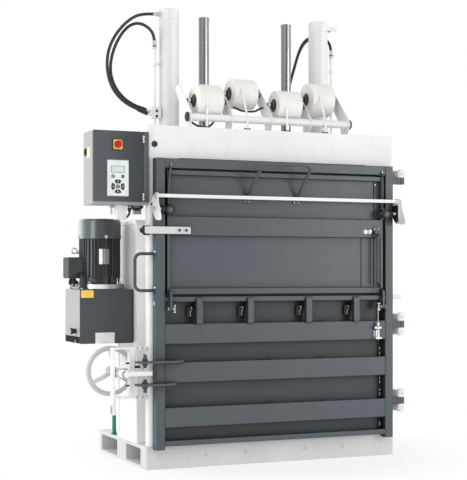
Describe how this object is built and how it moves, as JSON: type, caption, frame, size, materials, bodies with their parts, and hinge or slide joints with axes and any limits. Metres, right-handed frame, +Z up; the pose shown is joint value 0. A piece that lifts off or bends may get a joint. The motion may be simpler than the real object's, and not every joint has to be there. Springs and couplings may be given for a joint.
{
  "type": "recycling baler",
  "caption": "Upright recycling baler: press cylinders and guide columns over a chamber, a hinged front door with a loading flap, a side power unit, a control cabinet and strap rolls.",
  "frame": {"origin": "centre of the base's footprint on the floor", "axes": "+Z up, -Y out of the door at the front, +X to the right of someone facing the door"},
  "size_m": [2.01, 1.061, 2.67],
  "materials": {
    "white_paint": "satin",
    "deck_paint": "satin",
    "slate_paint": "satin",
    "bright_steel": "polished",
    "plain_steel": "satin",
    "black_plastic": "satin",
    "motor_grey": "satin",
    "cowl_grey": "satin",
    "tank_paint": "satin",
    "cabinet_paint": "satin",
    "cabinet_side": "satin",
    "keypad": "satin",
    "switch_yellow": "satin",
    "switch_red": "gloss",
    "key_black": "satin",
    "strap_white": "satin",
    "rubber_black": "satin",
    "sleeve_green": "satin"
  },
  "bodies": {
    "frame": {"base_frame": "white_paint", "chamber_floor": "plain_steel", "side_walls": "white_paint", "front_frame": "white_paint", "top_deck": "deck_paint", "rear_wall": "white_paint", "side_covers": "white_paint", "press_cylinders": "white_paint", "column_bushes": "plain_steel", "hinge_blocks": "white_paint", "flap_switch": "black_plastic", "lock_frame": "white_paint", "oil_tank": "tank_paint", "motor_housing": "motor_grey", "fan_cowl": "cowl_grey", "terminal_box": "motor_grey", "tank_fittings": "black_plastic", "cabinet_body": "cabinet_side", "roll_stand": "white_paint", "strap_tube": "white_paint", "hydraulic_pipes": "white_paint", "hoses_left": "rubber_black", "hoses_right": "rubber_black", "release_lever": "sleeve_green"},
    "press": {"platen": "white_paint", "piston_rods": "bright_steel", "guide_columns": "bright_steel"},
    "door": {"door_stiles": "slate_paint", "door_rails": "slate_paint", "door_skin": "slate_paint", "strap_hooks": "slate_paint", "side_handle": "slate_paint", "hinge_knuckles": "slate_paint", "flap_fittings": "slate_paint", "lock_lugs": "slate_paint", "flap_stay": "plain_steel"},
    "flap": {"flap_panel": "slate_paint", "flap_lugs": "slate_paint", "flap_handle": "slate_paint", "switch_arm": "white_paint"},
    "latch": {"latch_bar": "white_paint"},
    "wheel": {"handwheel": "white_paint"},
    "lock": {"lock_spindle": "plain_steel", "lock_claw": "white_paint"},
    "panel_door": {"cabinet_door": "cabinet_paint", "keypad_plate": "keypad", "switch_plate": "switch_yellow"},
    "main_switch": {"switch_knob": "switch_red"},
    "fan": {"motor_fan": "black_plastic"},
    "key_left_body": {"key_left": "key_black"},
    "key_right_body": {"key_right": "key_black"},
    "key_enter_body": {"key_enter": "key_black"},
    "key_next_body": {"key_next": "key_black"},
    "key_up_body": {"key_up": "key_black"},
    "key_back_body": {"key_back": "key_black"},
    "key_down_body": {"key_down": "key_black"},
    "roll_1": {"strap_roll_1": "strap_white"},
    "roll_2": {"strap_roll_2": "strap_white"},
    "roll_3": {"strap_roll_3": "strap_white"},
    "roll_4": {"strap_roll_4": "strap_white"}
  },
  "joints": [
    {"name": "platen_press", "type": "slide", "parent": "frame", "child": "press", "axis": [0, 0, -1], "range_m": [0, 0.6]},
    {"name": "door_swing", "type": "hinge", "parent": "frame", "child": "door", "pos_m": [0.823, -0.464, 0.791], "axis": [0, 0, 1], "range_deg": [0, 175]},
    {"name": "flap_fold", "type": "hinge", "parent": "door", "child": "flap", "pos_m": [0, -0.51, 0.9], "axis": [1, 0, 0], "range_deg": [0, 90]},
    {"name": "latch_lift", "type": "hinge", "parent": "flap", "child": "latch", "pos_m": [0, -0.516, 1.455], "axis": [1, 0, 0], "range_deg": [0, 28], "stiffness_Nm_per_rad": 25, "springref_deg": -28.65},
    {"name": "handwheel_turn", "type": "hinge", "parent": "frame", "child": "wheel", "pos_m": [-0.942, -0.244, 0.545], "axis": [0, 1, 0], "range_deg": [0, 1800]},
    {"name": "lock_draw", "type": "slide", "parent": "frame", "child": "lock", "axis": [0, -1, 0], "range_m": [0, 0.03]},
    {"name": "cabinet_swing", "type": "hinge", "parent": "frame", "child": "panel_door", "pos_m": [-0.819, -0.46, 1.6815], "axis": [0, 0, 1], "range_deg": [0, 95]},
    {"name": "main_switch_turn", "type": "hinge", "parent": "panel_door", "child": "main_switch", "pos_m": [-0.967, -0.454, 1.808], "axis": [0, 1, 0], "range_deg": [0, 90]},
    {"name": "fan_spin", "type": "hinge", "parent": "frame", "child": "fan", "pos_m": [-0.953, -0.081, 1.308], "axis": [0, 0, 1], "continuous": true},
    {"name": "key_left_press", "type": "slide", "parent": "panel_door", "child": "key_left_body", "axis": [0, 1, 0], "range_m": [0, 0.001], "stiffness_N_per_m": 600, "springref_m": -0.002},
    {"name": "key_right_press", "type": "slide", "parent": "panel_door", "child": "key_right_body", "axis": [0, 1, 0], "range_m": [0, 0.001], "stiffness_N_per_m": 600, "springref_m": -0.002},
    {"name": "key_enter_press", "type": "slide", "parent": "panel_door", "child": "key_enter_body", "axis": [0, 1, 0], "range_m": [0, 0.001], "stiffness_N_per_m": 600, "springref_m": -0.002},
    {"name": "key_next_press", "type": "slide", "parent": "panel_door", "child": "key_next_body", "axis": [0, 1, 0], "range_m": [0, 0.001], "stiffness_N_per_m": 600, "springref_m": -0.002},
    {"name": "key_up_press", "type": "slide", "parent": "panel_door", "child": "key_up_body", "axis": [0, 1, 0], "range_m": [0, 0.001], "stiffness_N_per_m": 600, "springref_m": -0.002},
    {"name": "key_back_press", "type": "slide", "parent": "panel_door", "child": "key_back_body", "axis": [0, 1, 0], "range_m": [0, 0.001], "stiffness_N_per_m": 600, "springref_m": -0.002},
    {"name": "key_down_press", "type": "slide", "parent": "panel_door", "child": "key_down_body", "axis": [0, 1, 0], "range_m": [0, 0.001], "stiffness_N_per_m": 600, "springref_m": -0.002},
    {"name": "roll_1_spin", "type": "hinge", "parent": "frame", "child": "roll_1", "pos_m": [-0.381, -0.308, 2.095], "axis": [1, 0, 0], "continuous": true},
    {"name": "roll_2_spin", "type": "hinge", "parent": "frame", "child": "roll_2", "pos_m": [-0.127, -0.229, 2.158], "axis": [1, 0, 0], "continuous": true},
    {"name": "roll_3_spin", "type": "hinge", "parent": "frame", "child": "roll_3", "pos_m": [0.127, -0.308, 2.093], "axis": [1, 0, 0], "continuous": true},
    {"name": "roll_4_spin", "type": "hinge", "parent": "frame", "child": "roll_4", "pos_m": [0.381, -0.229, 2.15], "axis": [1, 0, 0], "continuous": true}
  ],
  "couplings": [
    {"joint": "lock_draw", "follows": "handwheel_turn", "m_per_rad": 0.000954}
  ]
}
